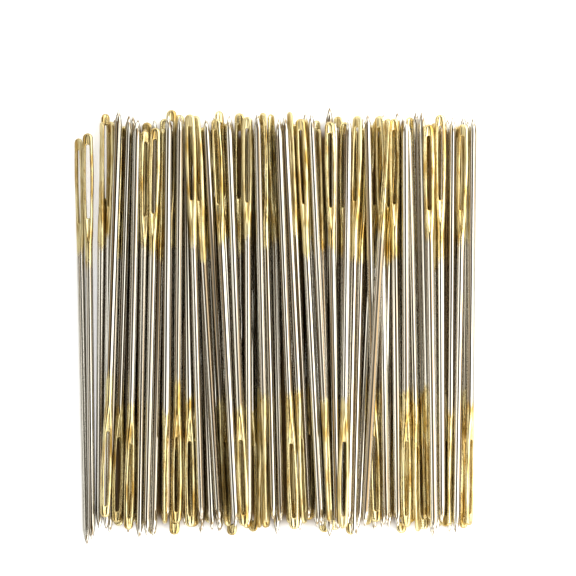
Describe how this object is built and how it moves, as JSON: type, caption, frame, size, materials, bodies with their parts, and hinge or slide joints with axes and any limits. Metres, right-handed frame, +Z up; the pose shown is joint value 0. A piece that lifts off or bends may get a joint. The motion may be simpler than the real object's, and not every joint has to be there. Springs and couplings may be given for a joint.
{
  "type": "bunch of yarn needles",
  "caption": "Loose flat bunch of blunt-eyed yarn needles laid side by side, nickel steel shafts with gilt eye ends at both ends of the row.",
  "frame": {"origin": "middle of the bunch on the table that it lies on", "axes": "+X to the right across the needles, +Y along the needles towards the top of the picture, +Z up from the table"},
  "size_m": [0.0594, 0.0644, 0.0066],
  "materials": {
    "needle": "polished"
  },
  "bodies": {
    "heap": {"lower_needles_01": "needle", "lower_needles_02": "needle", "lower_needles_03": "needle", "lower_needles_04": "needle", "lower_needles_05": "needle", "lower_needles_06": "needle", "lower_needles_07": "needle", "lower_needles_08": "needle", "lower_needles_09": "needle", "lower_needles_10": "needle", "middle_needles_01": "needle", "middle_needles_02": "needle", "middle_needles_03": "needle", "middle_needles_04": "needle", "middle_needles_05": "needle", "middle_needles_06": "needle", "middle_needles_07": "needle", "middle_needles_08": "needle", "needle_01": "needle", "needle_02": "needle", "needle_04": "needle", "needle_06": "needle", "needle_08": "needle", "needle_09": "needle", "needle_11": "needle", "needle_13": "needle", "needle_14": "needle", "needle_15": "needle", "needle_16": "needle", "needle_17": "needle", "needle_18": "needle", "needle_20": "needle", "needle_21": "needle", "needle_23": "needle", "needle_24": "needle", "needle_25": "needle", "needle_26": "needle", "needle_28": "needle", "needle_29": "needle", "needle_30": "needle", "needle_31": "needle", "needle_33": "needle", "needle_35": "needle", "needle_36": "needle", "needle_38": "needle", "needle_39": "needle", "needle_41": "needle"},
    "picked_needle_03": {"needle_03": "needle"},
    "picked_needle_05": {"needle_05": "needle"},
    "picked_needle_07": {"needle_07": "needle"},
    "picked_needle_10": {"needle_10": "needle"},
    "picked_needle_12": {"needle_12": "needle"},
    "picked_needle_19": {"needle_19": "needle"},
    "picked_needle_22": {"needle_22": "needle"},
    "picked_needle_27": {"needle_27": "needle"},
    "picked_needle_32": {"needle_32": "needle"},
    "picked_needle_34": {"needle_34": "needle"},
    "picked_needle_37": {"needle_37": "needle"},
    "picked_needle_40": {"needle_40": "needle"}
  },
  "joints": [
    {"name": "lift_needle_03", "type": "slide", "parent": "heap", "child": "picked_needle_03", "axis": [0, 0, 1], "range_m": [0, 0.03]},
    {"name": "lift_needle_05", "type": "slide", "parent": "heap", "child": "picked_needle_05", "axis": [0, 0, 1], "range_m": [0, 0.03]},
    {"name": "lift_needle_07", "type": "slide", "parent": "heap", "child": "picked_needle_07", "axis": [0, 0, 1], "range_m": [0, 0.03]},
    {"name": "lift_needle_10", "type": "slide", "parent": "heap", "child": "picked_needle_10", "axis": [0, 0, 1], "range_m": [0, 0.03]},
    {"name": "lift_needle_12", "type": "slide", "parent": "heap", "child": "picked_needle_12", "axis": [0, 0, 1], "range_m": [0, 0.03]},
    {"name": "lift_needle_19", "type": "slide", "parent": "heap", "child": "picked_needle_19", "axis": [0, 0, 1], "range_m": [0, 0.03]},
    {"name": "lift_needle_22", "type": "slide", "parent": "heap", "child": "picked_needle_22", "axis": [0, 0, 1], "range_m": [0, 0.03]},
    {"name": "lift_needle_27", "type": "slide", "parent": "heap", "child": "picked_needle_27", "axis": [0, 0, 1], "range_m": [0, 0.03]},
    {"name": "lift_needle_32", "type": "slide", "parent": "heap", "child": "picked_needle_32", "axis": [0, 0, 1], "range_m": [0, 0.03]},
    {"name": "lift_needle_34", "type": "slide", "parent": "heap", "child": "picked_needle_34", "axis": [0, 0, 1], "range_m": [0, 0.03]},
    {"name": "lift_needle_37", "type": "slide", "parent": "heap", "child": "picked_needle_37", "axis": [0, 0, 1], "range_m": [0, 0.03]},
    {"name": "lift_needle_40", "type": "slide", "parent": "heap", "child": "picked_needle_40", "axis": [0, 0, 1], "range_m": [0, 0.03]}
  ]
}
